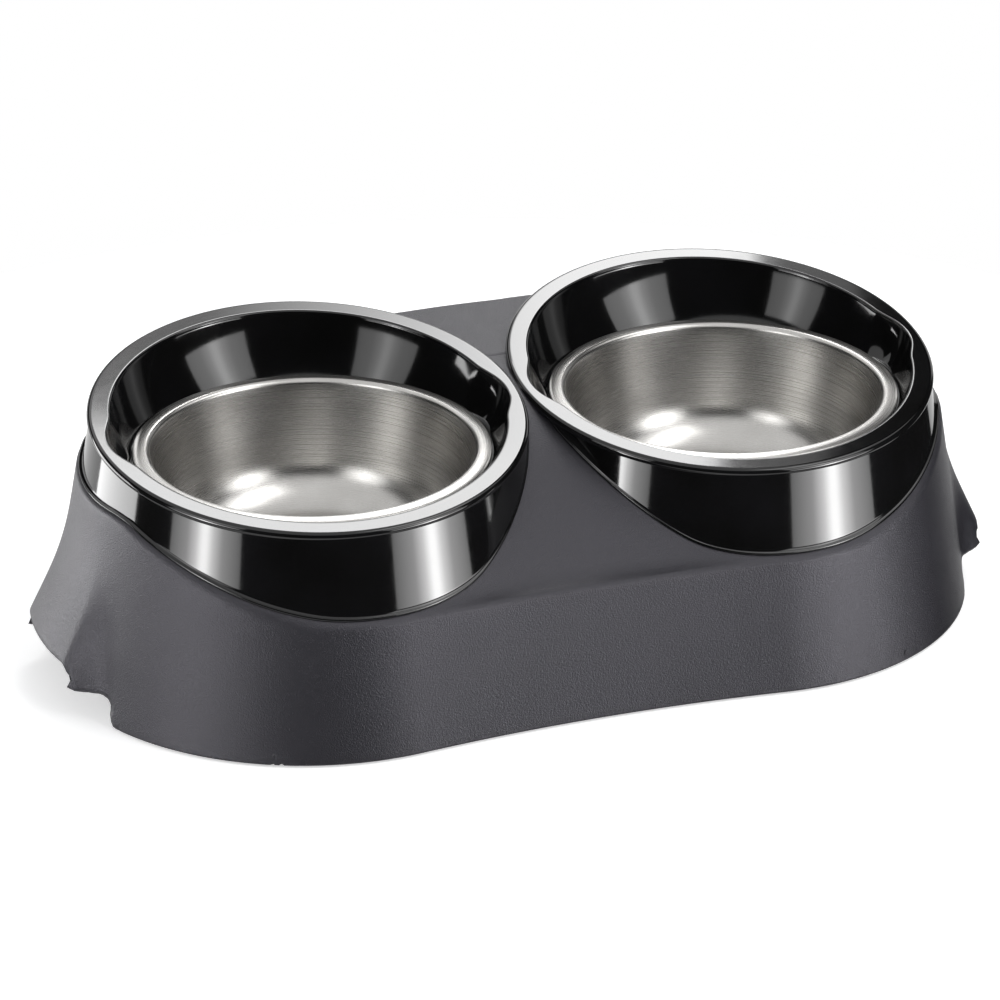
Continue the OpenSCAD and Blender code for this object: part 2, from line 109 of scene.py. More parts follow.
STAND_EDGE = BOWL_BASE - BOWL_FLARE * SHELF_HEIGHT + LEDGE_WIDTH
STAND_RADIUS = STAND_EDGE + STAND_DRAFT * SHELF_HEIGHT
WAIST_DEPTH = STAND_RADIUS - WAIST_INSET
WAIST_RADIUS = (OFFSET ** 2 + WAIST_DEPTH ** 2 - STAND_RADIUS ** 2) / (2 * WAIST_INSET)
WAIST_CENTRE = WAIST_RADIUS + WAIST_DEPTH
WAIST_SPAN = WAIST_RADIUS + STAND_RADIUS
REACH = OFFSET + STAND_RADIUS - STAND_DRAFT * GRIP_HEIGHT + GRIP_REACH - SPARE_X
STAND_DEPTH = STAND_RADIUS - STAND_DRAFT * FOOT_REVEAL - SPARE_Y
WELL = BOWL_BASE - BOWL_FLARE * ROOF_HEIGHT - BOWL_WALL - BOWL_PLAY
TROUGH_HALF = 0.7 * HUMP_OFFSET
SHELF_RISE = 3 * FOOT_REVEAL / SHELF_SLOPE
GRIP_FULL, GRIP_END = math.radians(12.5), math.radians(25.0)
FOOT_CIRCLE = STAND_RADIUS - FOOT_INSET - FOOT_RADIUS


def low_of(a, b, k):
    """Smaller of two distances, rounded over where they meet."""
    h = np.maximum(k - np.abs(a - b), 0.0)
    return np.minimum(a, b) - h * h / (4.0 * k)


def high_of(a, b, k):
    """Larger of two distances, rounded over where they meet."""
    h = np.maximum(k - np.abs(a - b), 0.0)
    return np.maximum(a, b) + h * h / (4.0 * k)


def outline(x, y, radius):
    """Distance outside the waisted outline whose round ends have this radius."""
    ax, ay = np.abs(x), np.abs(y)
    end = np.hypot(ax - OFFSET, ay) - radius
    waist = WAIST_SPAN - radius - np.hypot(ax, ay - WAIST_CENTRE)
    return np.where(ax / OFFSET + ay / WAIST_CENTRE > 1.0, end, waist)


def above_top(x, y, z, lift, soft):
    """Distance above the stand's top surface raised by lift."""
    ax = np.abs(x)
    roof = np.hypot(x, z - (ROOF_HEIGHT - ROOF_RADIUS)) - ROOF_RADIUS - lift
    hump_rise = np.maximum(HUMP_RADIUS ** 2 - (ax - HUMP_OFFSET) ** 2, 1.0)
    hump = DOME_HUMP - HUMP_RADIUS + np.sqrt(hump_rise)
    trough_rise = TROUGH_RADIUS ** 2 - np.minimum(ax, TROUGH_HALF) ** 2
    trough = np.minimum(DOME_TROUGH + TROUGH_RADIUS - np.sqrt(trough_rise), DOME_HUMP)
    slope = np.where(ax < TROUGH_HALF, high_of(hump, trough, TROUGH_SOFT), hump)
    dome = np.hypot(y - DOME_BACK, z + DOME_DROP) - slope - lift
    rise = np.clip(-outline(x, y, STAND_EDGE), 0.0, SHELF_RISE)
    shelf = (z - SHELF_HEIGHT - lift - SHELF_SLOPE * rise) * SHELF_SQUARE
    ground = np.minimum(low_of(dome, shelf, soft), DOME_BACK - y)
    return high_of(roof, ground, soft)


def bulge(ax, ay, z):
    """How far the hand grip stands out of the wall, in soft curves both ways."""
    along = (GRIP_END - np.arctan2(ay, np.maximum(ax, 0.1))) / (GRIP_END - GRIP_FULL)
    along = np.clip(along, 0.0, 1.0) ** GRIP_FADE
    up = (GRIP_TOP - z) / (GRIP_TOP - GRIP_HEIGHT)
    return GRIP_REACH * along * along * (3 - 2 * along) * high_of(up, 0.0 * up, GRIP_SOFT)


def wall(x, y, z, inset):
    """Distance outside the stand's wall, grips included, moved in by inset."""
    ax, ay = np.abs(x) - OFFSET, np.abs(y)
    radius = STAND_RADIUS - STAND_DRAFT * z - inset
    # inside, the bulge is narrower, which keeps its steep sides thick enough
    end = np.hypot(ax, ay) - radius - bulge(ax, ay * (1 + GRIP_NARROWING * inset), z)
    return np.where(ax > END_START, end * WALL_SQUARE, outline(x, y, radius) * WALL_SQUARE)


def arch_part(ay, z, half, height):
    """Distance outside a tunnel with this half width and height and rounded upper corners."""
    qy, qz = ay - (half - ARCH_CORNER), z - (height - ARCH_CORNER)
    corner = np.hypot(np.maximum(qy, 0.0), np.maximum(qz, 0.0))
    return corner + np.minimum(np.maximum(qy, qz), 0.0) - ARCH_CORNER


def grip_arch(ax, ay, z):
    """Distance outside the stepped arch through each end, flared at its feet and steps."""
    foot = ARCH_HALF + ARCH_FLARE
    bend = ARCH_TOP_HALF + GRIP_HEIGHT - ARCH_CORNER - ARCH_HEIGHT
    arch = np.minimum(arch_part(ay, z, ARCH_HALF, ARCH_HEIGHT),
                      arch_part(ay, z, ARCH_TOP_HALF, GRIP_HEIGHT))
    for out, level, size in ((foot, ARCH_FLARE, ARCH_FLARE),
                             (bend, GRIP_HEIGHT - ARCH_CORNER, bend - ARCH_TOP_HALF)):
        square = np.maximum(ay - out, z - level)
        arch = np.minimum(arch, np.maximum(square, size - np.hypot(ay - out, z - level)))
    return np.maximum(arch, -ax)


def stand_hollow(x, y, z):
    """Distance outside the hollow of the stand, before what stands in it is left out."""
    hollow = np.maximum(wall(x, y, z, SHELL), above_top(x, y, z, -SHELL, HOLLOW_SOFT))
    r = np.hypot(np.abs(x) - OFFSET, y)
    sleeve = np.maximum(r - (WELL + SLEEVE_WALL), SEAT_HEIGHT - SEAT_THICKNESS - z)
    return np.maximum(hollow, -sleeve)


def stand(x, y, z):
    """Distance outside the whole stand."""
    ax, ay = np.abs(x) - OFFSET, np.abs(y)
    d = high_of(wall(x, y, z, 0.0), above_top(x, y, z, 0.0, TOP_SOFT), EDGE_SOFT)
    d = np.maximum(high_of(d, -grip_arch(ax, ay, z), ARCH_SOFT), FOOT_REVEAL - z)
    # the hollow, less the bosses over the feet and the crossed ribs
    from_foot = np.hypot(ax - FOOT_CIRCLE * math.cos(FOOT_ANGLE),
                         ay - FOOT_CIRCLE * math.sin(FOOT_ANGLE))
    recess_top = FOOT_REVEAL + FOOT_RECESS
    boss = np.maximum(from_foot - (FOOT_RADIUS + FOOT_PLAY + BOSS_WALL),
                      z - (recess_top + PLUG_LENGTH + BOSS_CAP))
    crossing = np.minimum(np.abs(ax + y), np.abs(ax - y)) / math.sqrt(2)
    rib = crossing - RIB_THICKNESS / 2 - RIB_ADDED
    kept = np.minimum(boss, np.maximum(rib, RIB_HEIGHT - z))
    d = np.maximum(d, -np.maximum(stand_hollow(x, y, z), -kept))
    # the wells, with a seat for the ring foot and an opening in their floor
    well = np.maximum(np.hypot(ax, y) - WELL, SEAT_HEIGHT + SEAT_RECESS - z)
    from_ring = np.hypot(ax, y + STEEL_SHIFT)
    seat = np.maximum(from_ring - (RING_RADIUS + RING_WIDTH / 2 + SEAT_PLAY), SEAT_HEIGHT - z)
    hole = from_ring - (RING_RADIUS - RING_WIDTH / 2 - SEAT_MARGIN)
    hole = np.maximum(hole, z - SEAT_HEIGHT - SEAT_THICKNESS)
    d = np.maximum(d, -np.minimum(np.minimum(well, seat), hole))
    # the recess of each foot and the socket of its plug
    recess = np.maximum(from_foot - FOOT_RADIUS - FOOT_PLAY, z - recess_top)
    socket = np.maximum(from_foot - PLUG_RADIUS - FOOT_PLAY,
                        z - (recess_top + PLUG_LENGTH + FOOT_PLAY))
    return np.maximum(d, -np.minimum(recess, socket))


# corners of a cell, and its edges as pairs of them
CORNERS = [(i, j, k) for i in (0, 1) for j in (0, 1) for k in (0, 1)]
EDGES = [(0, 1), (2, 3), (4, 5), (6, 7), (0, 2), (1, 3),
         (4, 6), (5, 7), (0, 4), (1, 5), (2, 6), (3, 7)]


def unit(g):
    return g / np.maximum(np.linalg.norm(g, axis=1), 1e-9)[:, None]


def slope_of(f, p, h=0.02):
    """Change of f for each millimetre along the axes, from two places h either side."""
    g = np.empty_like(p)
    for i in range(3):
        a, b = p.copy(), p.copy()
        a[:, i] += h
        b[:, i] -= h
        g[:, i] = (f(a[:, 0], a[:, 1], a[:, 2]) - f(b[:, 0], b[:, 1], b[:, 2])) / (2 * h)
    return g


def net(f, low, high, cell):
    """Points and faces of a closed quad mesh of the surface where f is zero."""
    pull, spill = 0.05, 0.1
    low = np.array(low, float)
    count = np.ceil((np.array(high) - low) / cell).astype(int) + 1
    ax = [low[i] + cell * np.arange(count[i]) for i in range(3)]
    grid = np.empty(count, np.float32)
    for i in range(count[0]):
        y, z = np.meshgrid(ax[1], ax[2], indexing="ij")
        grid[i] = f(np.full_like(y, ax[0][i]), y, z)
    inside = grid < 0
    n = count - 1
    part = lambda a, c: a[c[0]:c[0] + n[0], c[1]:c[1] + n[1], c[2]:c[2] + n[2]]
    total = sum(part(inside, c).astype(np.int8) for c in CORNERS)
    active = (total > 0) & (total < len(CORNERS))
    where = np.argwhere(active)
    index = np.full(n, -1, np.int32)
    index[active] = np.arange(len(where))
    value = np.stack([part(grid, c)[active] for c in CORNERS], 1).astype(float)
    shift = np.array(CORNERS, float)
    origin = low + cell * where
    spots, owners = [], []
    for a, b in EDGES:
        cross = (value[:, a] < 0) != (value[:, b] < 0)
        t = value[cross, a] / (value[cross, a] - value[cross, b])
        spots.append(origin[cross] + cell * (shift[a] + t[:, None] * (shift[b] - shift[a])))
        owners.append(np.flatnonzero(cross))
    spots, owners = np.concatenate(spots), np.concatenate(owners)
    normal = unit(slope_of(f, spots))
    number = np.bincount(owners, minlength=len(where))
    mean = np.stack([np.bincount(owners, spots[:, i], len(where)) for i in range(3)], 1)
    mean /= number[:, None]
    # the point that lies best on every crossing's tangent plane, drawn lightly to their middle
    off = (normal * (spots - mean[owners])).sum(1)
    system = np.empty((len(where), 3, 3))
    target = np.empty((len(where), 3))
    for i in range(3):
        target[:, i] = np.bincount(owners, normal[:, i] * off, len(where))
        for j in range(3):
            system[:, i, j] = np.bincount(owners, normal[:, i] * normal[:, j], len(where))
    system += pull * np.eye(3)
    move = np.linalg.solve(system, target[:, :, None])[:, :, 0]
    p = np.clip(mean + move, origin - spill * cell, origin + (1 + spill) * cell)
    # one face for each grid edge that crosses the surface, between the four cells around it
    faces = []
    for axis in range(3):
        u, v = [(1, 2), (2, 0), (0, 1)][axis]
        a = [slice(1, n[0]), slice(1, n[1]), slice(1, n[2])]
        b = [slice(1, n[0]), slice(1, n[1]), slice(1, n[2])]
        a[axis], b[axis] = slice(0, n[axis]), slice(1, n[axis] + 1)
        one, two = inside[tuple(a)], inside[tuple(b)]
        flip = ~one[one != two]
        base = np.argwhere(one != two) + 1
        base[:, axis] -= 1
        quad = []
        for du, dv in ((-1, -1), (0, -1), (0, 0), (-1, 0)):
            q = base.copy()
            q[:, u] += du
            q[:, v] += dv
            quad.append(index[q[:, 0], q[:, 1], q[:, 2]])
        quad = np.stack(quad, 1)
        quad[flip] = quad[flip][:, ::-1]
        faces.append(quad)
    return p, np.concatenate(faces)


def sharpened(f, p, faces, cell, chosen):
    """Moves chosen points that lie close to an edge of the surface onto it."""
    # how far off the surface is looked at, the smallest square of a slope that is trusted, how near
    # the surface a place has to come, and how strongly the edge is held near the middle of them
    spread, least_square, near, pull = 0.42, 0.25, 0.05, 0.02
    # a point moves if the directions around it differ, enough places came near, and it isn't far
    alike, enough, farthest, folded = 0.93, 4, 0.6 * cell, 0.35
    offsets = (2 * np.array(CORNERS, float) - 1) * spread * cell
    start = p[chosen]
    around = (start[:, None] + offsets).reshape(-1, 3)
    for _ in range(2):
        g = slope_of(f, around)
        d = f(around[:, 0], around[:, 1], around[:, 2])
        step = np.clip(d / np.maximum((g * g).sum(1), least_square), -cell, cell)
        around = around - g * step[:, None]
    g = unit(slope_of(f, around))
    off = f(around[:, 0], around[:, 1], around[:, 2])
    good = (np.abs(off) < near).reshape(-1, 8)
    g, around = g.reshape(-1, 8, 3), around.reshape(-1, 8, 3)
    g = g * good[:, :, None]
    mean = (around * good[:, :, None]).sum(1) / np.maximum(good.sum(1), 1)[:, None]
    reach = (g * (around - mean[:, None])).sum(2)
    system = np.einsum("nki,nkj->nij", g, g) + pull * np.eye(3)
    move = np.linalg.solve(system, np.einsum("nki,nk->ni", g, reach)[:, :, None])[:, :, 0]
    ends = mean + move
    size = np.linalg.norm(g.sum(1), axis=1) / np.maximum(good.sum(1), 1)
    moved = np.linalg.norm(ends - start, axis=1)
    fits = (size < alike) & (good.sum(1) > enough) & (moved < farthest)
    result = p.copy()
    result[chosen[fits]] = ends[fits]
    # faces that the move folded over get their points back
    for _ in range(3):
        turn = (face_normals(p, faces) * face_normals(result, faces)).sum(1) < folded
        back = np.unique(faces[turn])
        result[back] = p[back]
    return result


def face_normals(p, faces):
    return unit(np.cross(p[faces[:, 2]] - p[faces[:, 0]], p[faces[:, 3]] - p[faces[:, 1]]))


def corner_directions(f, p, faces):
    """Surface direction at each face's corners, taken inside the face where an edge is sharp."""
    own, centre, same, astray = 0.7, 0.3, 0.97, 0.3
    at_point = unit(slope_of(f, p))
    middle = p[faces].mean(1)
    flat = faces.reshape(-1)
    near = p[flat] * own + np.repeat(middle, faces.shape[1], axis=0) * centre
    inside = unit(slope_of(f, near))
    smooth = (at_point[flat] * inside).sum(1) > same
    directions = np.where(smooth[:, None], at_point[flat], inside)
    of_face = np.repeat(face_normals(p, faces), faces.shape[1], axis=0)
    return np.where(((directions * of_face).sum(1) < astray)[:, None], of_face, directions)


def on_rim(across, up, angle):
    """Points on the tilted rim's own axes: distance out, height above its plane."""
    c, s = math.cos(TILT), math.sin(TILT)
    v = across * np.sin(angle)
    y, z = v * c - up * s - RIM_SHIFT, v * s + up * c + RIM_LEVEL
    return np.stack([across * np.cos(angle), y, z], 1)


def rim_place(p):
    """Distance out, height and angle of points on the tilted rim's own axes."""
    c, s = math.cos(TILT), math.sin(TILT)
    y, z = p[:, 1] + RIM_SHIFT, p[:, 2] - RIM_LEVEL
    return np.hypot(p[:, 0], y * c + z * s), z * c - y * s, np.arctan2(y * c + z * s, p[:, 0])


def mouth_point(angle, z, grow):
    """Points of the mouth's surface at this height, notches included, at angles about the
    steel bowl's axis, with its ball and notches grown by grow."""
    r = np.sqrt(np.maximum((BALL_RADIUS + grow) ** 2 - (z - BALL_HEIGHT) ** 2, 0.0))
    for side in (-1, 1):
        cx, cy = side * NOTCH_X, STEEL_SHIFT - NOTCH_SHIFT
        b = np.cos(angle) * cx + np.sin(angle) * cy
        q = (NOTCH_RADIUS + grow) ** 2 - (z - NOTCH_Z) ** 2 + b * b - cx * cx - cy * cy
        r = high_of(r, b + np.sign(q) * np.sqrt(np.abs(q)), NOTCH_SOFT)
    return np.stack([r * np.cos(angle), r * np.sin(angle) - STEEL_SHIFT, z], 1)


def solve(f, low, high):
    """Where f turns from below zero to above it, between two bounds."""
    for _ in range(40):
        middle = (low + high) / 2
        above = f(middle) > 0
        low, high = np.where(above, low, middle), np.where(above, middle, high)
    return (low + high) / 2


def rest_height(direction, away, lift):
    """Height where an upright line this far from the bowl's axis meets the raised stand's top."""
    x, y = away * np.cos(direction), away * np.sin(direction)
    return solve(lambda z: above_top(x + OFFSET, y, z, lift, TOP_SOFT),
                 np.full_like(x, UNDER_TOP), np.full_like(x, OVER_TOP))


def cup_rows(inset, steps):
    """Profile of the steel bowl, moved in by inset, from the middle of its floor up its corner."""
    run = STEEL_CORNER - inset
    rows = [(r, STEEL_FLOOR + inset) for r in (0.5, 12.0, 24.0, CORNER_OFFSET - 1.0)]
    for i in range(steps + 1):
        a = (math.pi / 2 - LEAN) * i / steps
        rows.append((CORNER_OFFSET + run * math.sin(a),
                     STEEL_FLOOR + STEEL_CORNER - run * math.cos(a)))
    return rows


def wall_at(inset, z):
    """Radius of the steel bowl's leaning wall, moved in by inset, at this height."""
    c, s = math.cos(LEAN), math.sin(LEAN)
    return CORNER_OFFSET + (STEEL_CORNER - inset + (z - STEEL_FLOOR - STEEL_CORNER) * s) / c


def level_ring(a, r, z):
    """Points at angles a on a level ring about the steel bowl's axis."""
    return np.stack([r * np.cos(a), r * np.sin(a) - STEEL_SHIFT, z + 0.0 * a], 1)


def skirt(z):
    """Radius of the outer bowl's outside at this height."""
    return BOWL_BASE - BOWL_FLARE * z


def over_stand(p, lift):
    """Points raised where they would come closer than lift to the stand's top."""
    h = rest_height(np.arctan2(p[:, 1], p[:, 0]), np.hypot(p[:, 0], p[:, 1]), lift)
    return np.stack([p[:, 0], p[:, 1], np.maximum(p[:, 2], h)], 1)


def bowl_rows(n):
    """The right outer bowl as closed rings of n points about its own axis, from the middle of the
    basin inside, over the ledge, the rim and the skirt, to the middle of the basin's underside."""
    a = np.arange(n) * 2 * math.pi / n
    one = np.ones(n)
    steps, corner, fillet = 10, 0.5, 0.35
    ring = lambda r, z: level_ring(a, r, z)
    # inside: floor, wall, ledge
    rows = [ring(r, z) for r, z in cup_rows(-BASIN_SPACE, steps)]
    for z in (66.0, 78.0, 90.0, LEDGE - corner):
        rows.append(ring(wall_at(-BASIN_SPACE, z), z))
    rows.append(ring(wall_at(-BASIN_SPACE, LEDGE) + corner, LEDGE))
    foot = mouth_point(a, LEDGE * one, 0.0)
    edge = np.hypot(foot[:, 0], foot[:, 1] + STEEL_SHIFT)
    rows.append(ring(edge - 0.3, LEDGE))
    # mouth, up to where the rounded edge of the rim begins
    turn = 1.1
    top = solve(lambda z: rim_place(mouth_point(a, z, 0.0))[1] + turn, LEDGE * one, OVER_RIM * one)
    for t in (0.0, 0.02, 0.1, 0.2, 0.3, 0.4, 0.5, 0.6, 0.7, 0.8, 0.9, 0.97, 1.0):
        rows.append(mouth_point(a, LEDGE + t * (top - LEDGE), 0.0))
    across, _, angle = rim_place(rows[-1])
    for i in range(1, 6):
        b = math.radians(18 * i)
        rows.append(on_rim(across + turn * (1 - math.cos(b)), turn * (math.sin(b) - 1), angle))
    # flat band of the rim, and the bead around it down to where it meets the skirt
    start, end = across + turn, RIM_RADIUS - RIM_BEAD
    for t in (0.06, 0.35, 0.65, 0.94):
        rows.append(on_rim(start + t * (end - start), 0.0, angle))
    bead = lambda b: on_rim(end + RIM_BEAD * np.cos(b), RIM_BEAD * (np.sin(b) - 1), angle)

    def inside_skirt(p):
        return skirt(p[:, 2]) - np.hypot(p[:, 0], p[:, 1])
    last = solve(lambda b: inside_skirt(bead(-b)), 0.2 * one, 1.5 * one)
    turns, spare = 12, 0.02
    for i in range(turns + 1):
        b = math.pi / 2 - (math.pi / 2 + last) * i / turns
        rows.append(over_stand(bead(b), BOWL_PLAY + spare * (turns + 1 - i)))
    # skirt, down to just above the flange where it stands free of the rim
    direction = np.arctan2(rows[-1][:, 1], rows[-1][:, 0])
    level = rows[-1][:, 2]
    at = lambda r, z: np.stack([r * np.cos(direction), r * np.sin(direction), z], 1)
    lift = BOWL_PLAY + FLANGE_THICKNESS
    guess = rest_height(direction, skirt(80.0 * one), lift)
    foot = rest_height(direction, skirt(guess), lift) + fillet
    share = np.clip((level - foot) / 1.5, 0.0, 1.0)
    foot = np.minimum(foot, level - 0.01)
    for t in (0.01, 0.15, 0.3, 0.45, 0.6, 0.75, 0.9, 0.99, 1.0):
        z = level + t * (foot - level)
        rows.append(over_stand(at(skirt(z), z), BOWL_PLAY))
    # flange, fading out by its share where the rim comes down to the stand
    out = skirt(foot) + share * (FLANGE_WIDTH + FLANGE_SHIFT * np.cos(direction))
    low = rest_height(direction, out, BOWL_PLAY)
    z = np.minimum(rest_height(direction, out, lift), np.maximum(foot, low))
    rows.append(at(skirt(foot) + fillet * share, np.minimum(foot, z + 0.2 * share)))
    rows += [at(out - 0.3 * share, z), at(out - 0.08 * share, z - 0.09 * share),
             at(out, z - 0.3 * share), at(out, low + 0.1 * share), at(out - 0.1, low)]
    inner = skirt(low) - BOWL_WALL
    rows.append(at(inner, rest_height(direction, inner, BOWL_PLAY)))
    # inside of the skirt, up to below the rim
    under_rim = 2 * RIM_BEAD
    height = rows[-1][:, 2]
    ceiling = solve(lambda z: rim_place(at(skirt(z) - BOWL_WALL, z))[1] + under_rim,
                    height, OVER_RIM * one)
    ceiling = np.maximum(ceiling, height + 0.5)
    for t in (0.5, 1.0):
        z = height + t * (ceiling - height)
        rows.append(at(skirt(z) - BOWL_WALL, z))

    def shell(z):
        """Outside of the mouth's wall, kept within the skirt's."""
        p = mouth_point(a, z, BOWL_WALL)
        r = np.hypot(p[:, 0], p[:, 1])
        p[:, :2] *= (np.minimum(r, skirt(z) - BOWL_WALL - 0.1) / r)[:, None]
        return p
    # shell around the mouth, outside of the basin, ring foot
    bottom = LEDGE - BOWL_WALL
    top = solve(lambda z: rim_place(shell(z))[1] + under_rim, bottom * one, OVER_RIM * one)
    for t in (1.0, 0.75, 0.5, 0.25, 0.0):
        rows.append(shell(bottom + t * (top - bottom)))
    for z in (bottom, 82.0, 70.0):
        rows.append(ring(wall_at(-GROW, z), z))
    floor = STEEL_FLOOR - GROW
    big, small = RING_RADIUS + RING_WIDTH / 2, RING_RADIUS - RING_WIDTH / 2
    rows += [ring(r, z) for r, z in reversed(cup_rows(-GROW, steps)) if r > big]
    drop = math.sqrt((STEEL_CORNER + GROW) ** 2 - (big - CORNER_OFFSET) ** 2)
    rows += [ring(big, STEEL_FLOOR + STEEL_CORNER - drop), ring(big, SEAT_HEIGHT + corner),
             ring(big - corner, SEAT_HEIGHT), ring(small + corner, SEAT_HEIGHT),
             ring(small, SEAT_HEIGHT + corner), ring(small, floor + 0.3),
             ring(small - 0.4, floor), ring(20.0, floor), ring(0.5, floor)]
    return rows


def steel_rows(n):
    """The right steel bowl as closed rings of n points, from the middle of its floor inside, over
    the rim, to the middle of its floor outside."""
    a = np.arange(n) * 2 * math.pi / n
    steps = 14
    ring = lambda r, z: level_ring(a, r, z)
    rows = [ring(r, z) for r, z in cup_rows(STEEL_SHEET, steps)]
    for z in (67.0, 74.0, 81.0, 88.0, 91.5):
        rows.append(ring(wall_at(STEEL_SHEET, z), z))
    # rim: a tight turn out of the wall, a gently falling crown, the folded edge
    turn, crown, fall, hem = 2.63, 14.0, math.radians(18), 0.75
    middle = STEEL_RADIUS - hem + hem * math.sin(fall) - crown * math.sin(fall)
    for i in range(9):
        b = LEAN - math.pi / 2 + (math.pi / 2 - LEAN) * i / 8
        rows.append(ring(middle + turn * math.sin(b), STEEL_TOP - turn + turn * math.cos(b)))
    for i in range(1, 7):
        b = fall * i / 6
        rows.append(ring(middle + crown * math.sin(b), STEEL_TOP - crown + crown * math.cos(b)))
    cx, cz = STEEL_RADIUS - hem, LEDGE + hem + 0.05
    for i in range(1, 10):
        b = fall + (math.pi - fall) * i / 9
        rows.append(ring(cx + hem * math.sin(b), cz + hem * math.cos(b)))
    corner = 0.4
    rows += [ring(cx - 0.3, LEDGE), ring(wall_at(0.0, LEDGE) + corner, LEDGE),
             ring(wall_at(0.0, LEDGE), LEDGE - corner)]
    for z in (84.0, 74.0, 66.0):
        rows.append(ring(wall_at(0.0, z), z))
    rows += [ring(r, z) for r, z in reversed(cup_rows(0.0, steps))]
    return rows


def in_scene(name, data):
    """New object with this data, in the scene's collection."""
    o = bpy.data.objects.new(name, data)
    bpy.context.scene.collection.objects.link(o)
    return o


def placed(name, points, faces, material, node, body, directions=None):
    """Own mesh that stands for a node and moves with its body."""
    mesh = bpy.data.meshes.new(name)
    mesh.from_pydata((points * MM).tolist(), [], faces)
    mesh.polygons.foreach_set("use_smooth", [True] * len(mesh.polygons))
    mesh.materials.append(material)
    if directions is not None:
        mesh.normals_split_custom_set(directions.tolist())
    o = in_scene(name, mesh)
    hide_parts(node)
    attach(o, body)


def turned(rows, side):
    """Points and faces of a closed body from rings of points, at the left or the right place."""
    n = len(rows[0])
    points = np.concatenate(rows + [rows[0].mean(0)[None], rows[-1].mean(0)[None]])
    faces = []
    for i in range(len(rows) - 1):
        for j in range(n):
            k = (j + 1) % n
            faces.append((i * n + j, (i + 1) * n + j, (i + 1) * n + k, i * n + k))
    first, last, top = len(rows) * n, len(rows) * n + 1, (len(rows) - 1) * n
    for j in range(n):
        k = (j + 1) % n
        faces.append((first, j, k))
        faces.append((last, top + k, top + j))
    points = points + np.array([OFFSET, 0.0, 0.0])
    if side < 0:
        points = points * np.array([-1.0, 1.0, 1.0])
        faces = [f[::-1] for f in faces]
    return points, faces


def make_stand(material):
    # the points close to the outside's lower edge, where the stand's foot line shows, are sharpened
    margin, edge_zone, skin = 2, 1.5, 2.0
    half_x = math.ceil((REACH + margin) / CELL) * CELL + CELL / 2
    half_y = math.ceil((STAND_RADIUS + margin) / CELL) * CELL + CELL / 2
    points, faces = net(stand, (-half_x, -half_y, -CELL / 2),
                        (half_x, half_y, ROOF_HEIGHT + margin), CELL)
    outer = np.abs(wall(points[:, 0], points[:, 1], points[:, 2], 0.0))
    low = (points[:, 2] < FOOT_REVEAL + edge_zone) & (outer < skin)
    points = sharpened(stand, points, faces, CELL, np.flatnonzero(low))
    directions = corner_directions(stand, points, faces)
    points = np.clip(points, (-REACH, -STAND_DEPTH, FOOT_REVEAL), (REACH, STAND_DEPTH, ROOF_HEIGHT))
    placed("moulded_stand", points, faces.tolist(), material, "stand", "base",
           directions)


# ---------------------------------------------------------------- camera
def make_camera():
    """Camera fitted to the photograph. Its scale is in pixels for each millimetre at the target,
    which lands on the pixel that image gives, and perspective is one over its distance in mm."""
    az, el, roll = math.radians(-20.6609), math.radians(25.7265), math.radians(0.5734)
    scale, perspective = 2.329132, 0.000513821
    image, width, sensor = (519.78, 542.20), 1000.0, 36.0
    target = Vector((0.0, SHIFT_Y, 36.5 * MM))
    right = Vector((math.cos(az), math.sin(az), 0.0))
    back = Vector((math.sin(az) * math.cos(el), -math.cos(az) * math.cos(el), math.sin(el)))
    up = back.cross(right)
    c, s = math.cos(roll), math.sin(roll)
    data = bpy.data.cameras.new("camera")
    data.sensor_fit = "HORIZONTAL"
    data.sensor_width = sensor
    data.lens = scale / perspective * sensor / width
    data.shift_x = -(image[0] - width / 2) / width
    data.shift_y = (image[1] - width / 2) / width
    data.clip_start = 0.05
    data.clip_end = 30.0
    camera = in_scene("camera", data)
    m = Matrix((right * c + up * s, right * -s + up * c, back)).transposed().to_4x4()
    m.translation = target + back * (MM / perspective)
    camera.matrix_world = m
    bpy.context.scene.camera = camera


# ------------------------------------------------------------- materials
def bare_nodes(owner, output="ShaderNodeOutputMaterial"):
    """The emptied node tree of a material or a world, and its new output."""
    owner.use_nodes = True
    t = owner.node_tree
    t.nodes.clear()
    return t, t.nodes.new(output)


def new_material(name):
    """Material with one Principled node, and the object's own coordinates to colour it by."""
    m = bpy.data.materials.new(name)
    t, out = bare_nodes(m)
    bsdf = t.nodes.new("ShaderNodeBsdfPrincipled")
    t.links.new(bsdf.outputs["BSDF"], out.inputs["Surface"])
    return m, t, bsdf, t.nodes.new("ShaderNodeTexCoord").outputs["Object"]


def noise(t, coord, scale, detail=2.0, rough=0.5):
    n = t.nodes.new("ShaderNodeTexNoise")
    n.inputs["Scale"].default_value = scale
    n.inputs["Detail"].default_value = detail
    n.inputs["Roughness"].default_value = rough
    t.links.new(coord, n.inputs["Vector"])
    return n.outputs["Fac"]


def ramp(t, fac, stops):
    n = t.nodes.new("ShaderNodeValToRGB")
    e = n.color_ramp.elements
    e[0].position, e[0].color = stops[0][0], stops[0][1]
    e[1].position, e[1].color = stops[-1][0], stops[-1][1]
    for p, c in stops[1:-1]:
        x = e.new(p)
        x.color = c
    t.links.new(fac, n.inputs["Fac"])
    return n.outputs["Color"]


def mapped(t, fac, low, high):
    n = t.nodes.new("ShaderNodeMapRange")
    n.inputs["To Min"].default_value = low
    n.inputs["To Max"].default_value = high
    t.links.new(fac, n.inputs["Value"])
    return n.outputs["Result"]


def bump_of(t, height, strength, distance):
    """Bump node that reads this height."""
    n = t.nodes.new("ShaderNodeBump")
    n.inputs["Strength"].default_value = strength
    n.inputs["Distance"].default_value = distance
    t.links.new(height, n.inputs["Height"])
    return n


def grey(v, tint=1.0):
    return (v, v, v * tint, 1.0)


